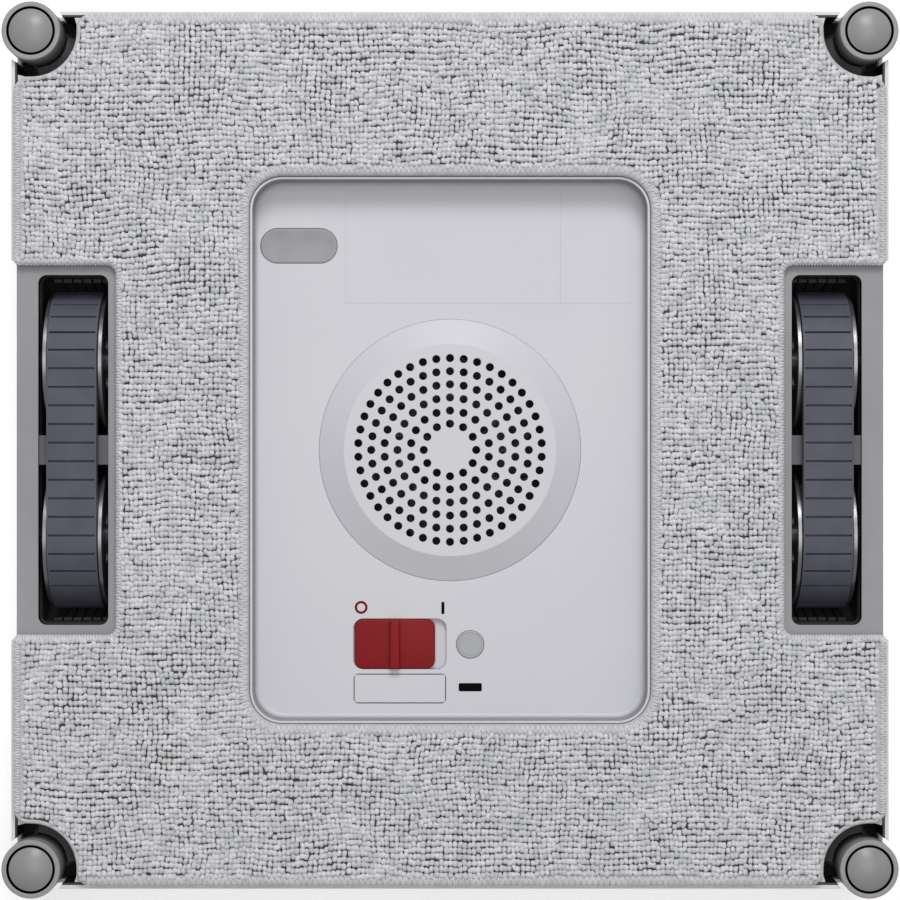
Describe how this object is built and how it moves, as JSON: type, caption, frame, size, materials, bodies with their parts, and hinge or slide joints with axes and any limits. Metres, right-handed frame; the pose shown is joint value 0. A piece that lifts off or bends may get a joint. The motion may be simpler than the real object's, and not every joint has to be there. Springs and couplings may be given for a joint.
{
  "type": "window cleaning robot",
  "caption": "Square window cleaning robot: padded working face with suction window and fan grille, two side tracks, corner rollers with edge sensors, power switch and a flat back.",
  "frame": {"origin": "middle of the back cover's flat face, which the robot lies on", "axes": "+Z out of the working face, +Y up the face as pictured, +X to the right"},
  "size_m": [0.2768, 0.2768, 0.0552],
  "materials": {
    "shell": "satin moulded",
    "base": "fine satin",
    "pad_cloth": "microfibre terry",
    "hook_tape": "hook tape",
    "track_grey": "fine satin",
    "belt_rubber": "matt",
    "wheel_plastic": "satin",
    "steel": "ground",
    "bronze": "sintered",
    "gear_plastic": "natural",
    "motor_case": "matt",
    "roller_grey": "satin",
    "dome_grey": "satin",
    "dark_plastic": "fine grain",
    "fan_plastic": "satin",
    "foam": "foam",
    "battery_wrap": "shrink film",
    "circuit_board": "solder mask",
    "red_plastic": "satin",
    "button_grey": "satin",
    "port_rubber": "soft",
    "black_window": "polished",
    "start_white": "satin"
  },
  "bodies": {
    "chassis": {"back_cover": "shell", "base_plate": "base", "fan_grille": "base", "cleaning_pad": "pad_cloth", "hook_strips": "hook_tape", "track_frame_left": "track_grey", "track_frame_right": "track_grey", "track_belt_left": "belt_rubber", "track_belt_right": "belt_rubber", "idler_axles": "steel", "axle_bushings": "bronze", "drive_motor_left": "motor_case", "drive_motor_right": "motor_case", "belt_guide_left": "track_grey", "belt_guide_right": "track_grey", "fan_motor": "motor_case", "fan_housing": "fan_plastic", "fan_seal": "foam", "exhaust_grille": "track_grey", "battery_pack": "battery_wrap", "main_board": "circuit_board", "power_switch_body": "base", "tact_switches": "dark_plastic", "service_port": "dark_plastic", "status_window": "black_window", "cord_gland": "port_rubber", "rope_anchor": "steel", "plate_screws": "steel", "sensor_spring_top_right": "steel", "corner_bracket_top_right": "dark_plastic", "sensor_spring_top_left": "steel", "corner_bracket_top_left": "dark_plastic", "sensor_spring_bottom_left": "steel", "corner_bracket_bottom_left": "dark_plastic", "sensor_spring_bottom_right": "steel", "corner_bracket_bottom_right": "dark_plastic"},
    "drive_left": {"drive_wheel_left": "wheel_plastic", "drive_axle_left": "steel", "drive_gear_left": "gear_plastic"},
    "idler_left": {"idler_wheel_left": "wheel_plastic"},
    "pinion_left": {"motor_pinion_left": "steel"},
    "drive_right": {"drive_wheel_right": "wheel_plastic", "drive_axle_right": "steel", "drive_gear_right": "gear_plastic"},
    "idler_right": {"idler_wheel_right": "wheel_plastic"},
    "pinion_right": {"motor_pinion_right": "steel"},
    "roller_top_right": {"corner_roller_top_right": "roller_grey"},
    "sensor_top_right": {"edge_sensor_top_right": "dome_grey"},
    "roller_top_left": {"corner_roller_top_left": "roller_grey"},
    "sensor_top_left": {"edge_sensor_top_left": "dome_grey"},
    "roller_bottom_left": {"corner_roller_bottom_left": "roller_grey"},
    "sensor_bottom_left": {"edge_sensor_bottom_left": "dome_grey"},
    "roller_bottom_right": {"corner_roller_bottom_right": "roller_grey"},
    "sensor_bottom_right": {"edge_sensor_bottom_right": "dome_grey"},
    "fan_rotor": {"impeller": "fan_plastic", "fan_shaft": "steel"},
    "power_switch": {"power_switch_slider": "red_plastic"},
    "reset_button": {"reset_button": "button_grey"},
    "start_button": {"start_button": "start_white"},
    "port_cover": {"port_cover": "port_rubber"}
  },
  "joints": [
    {"name": "drive_left_spin", "type": "hinge", "parent": "chassis", "child": "drive_left", "pos_m": [-0.1167, -0.0275, 0.0313], "axis": [1, 0, 0], "continuous": true},
    {"name": "idler_left_spin", "type": "hinge", "parent": "chassis", "child": "idler_left", "pos_m": [-0.1167, 0.0275, 0.0313], "axis": [1, 0, 0], "continuous": true},
    {"name": "pinion_left_spin", "type": "hinge", "parent": "chassis", "child": "pinion_left", "pos_m": [-0.098, -0.0455, 0.0313], "axis": [1, 0, 0], "continuous": true},
    {"name": "drive_right_spin", "type": "hinge", "parent": "chassis", "child": "drive_right", "pos_m": [0.1167, -0.0275, 0.0313], "axis": [1, 0, 0], "continuous": true},
    {"name": "idler_right_spin", "type": "hinge", "parent": "chassis", "child": "idler_right", "pos_m": [0.1167, 0.0275, 0.0313], "axis": [1, 0, 0], "continuous": true},
    {"name": "pinion_right_spin", "type": "hinge", "parent": "chassis", "child": "pinion_right", "pos_m": [0.098, -0.0455, 0.0313], "axis": [1, 0, 0], "continuous": true},
    {"name": "roller_top_right_spin", "type": "hinge", "parent": "chassis", "child": "roller_top_right", "pos_m": [0.1294, 0.1294, 0.047], "axis": [0, 0, 1], "continuous": true},
    {"name": "sensor_top_right_press", "type": "slide", "parent": "chassis", "child": "sensor_top_right", "axis": [0, 0, -1], "range_m": [0, 0.0022], "stiffness_N_per_m": 150, "springref_m": -0.002, "deforming": ["sensor_spring_top_right"]},
    {"name": "roller_top_left_spin", "type": "hinge", "parent": "chassis", "child": "roller_top_left", "pos_m": [-0.1294, 0.1294, 0.047], "axis": [0, 0, 1], "continuous": true},
    {"name": "sensor_top_left_press", "type": "slide", "parent": "chassis", "child": "sensor_top_left", "axis": [0, 0, -1], "range_m": [0, 0.0022], "stiffness_N_per_m": 150, "springref_m": -0.002, "deforming": ["sensor_spring_top_left"]},
    {"name": "roller_bottom_left_spin", "type": "hinge", "parent": "chassis", "child": "roller_bottom_left", "pos_m": [-0.1294, -0.1294, 0.047], "axis": [0, 0, 1], "continuous": true},
    {"name": "sensor_bottom_left_press", "type": "slide", "parent": "chassis", "child": "sensor_bottom_left", "axis": [0, 0, -1], "range_m": [0, 0.0022], "stiffness_N_per_m": 150, "springref_m": -0.002, "deforming": ["sensor_spring_bottom_left"]},
    {"name": "roller_bottom_right_spin", "type": "hinge", "parent": "chassis", "child": "roller_bottom_right", "pos_m": [0.1294, -0.1294, 0.047], "axis": [0, 0, 1], "continuous": true},
    {"name": "sensor_bottom_right_press", "type": "slide", "parent": "chassis", "child": "sensor_bottom_right", "axis": [0, 0, -1], "range_m": [0, 0.0022], "stiffness_N_per_m": 150, "springref_m": -0.002, "deforming": ["sensor_spring_bottom_right"]},
    {"name": "fan_spin", "type": "hinge", "parent": "chassis", "child": "fan_rotor", "pos_m": [0, 0, 0.028], "axis": [0, 0, 1], "continuous": true},
    {"name": "power_switch_slide", "type": "slide", "parent": "chassis", "child": "power_switch", "axis": [1, 0, 0], "range_m": [0, 0.0032]},
    {"name": "reset_button_press", "type": "slide", "parent": "chassis", "child": "reset_button", "axis": [0, 0, -1], "range_m": [0, 0.0008], "stiffness_N_per_m": 400, "springref_m": -0.001},
    {"name": "start_button_press", "type": "slide", "parent": "chassis", "child": "start_button", "axis": [0, 0, 1], "range_m": [0, 0.001], "stiffness_N_per_m": 400, "springref_m": -0.001},
    {"name": "port_cover_pull", "type": "slide", "parent": "chassis", "child": "port_cover", "axis": [0, 0, 1], "range_m": [0, 0.004]}
  ],
  "couplings": [
    {"joint": "idler_left_spin", "follows": "drive_left_spin", "ratio": 1},
    {"joint": "pinion_left_spin", "follows": "drive_left_spin", "ratio": -2},
    {"joint": "idler_right_spin", "follows": "drive_right_spin", "ratio": 1},
    {"joint": "pinion_right_spin", "follows": "drive_right_spin", "ratio": -2}
  ]
}
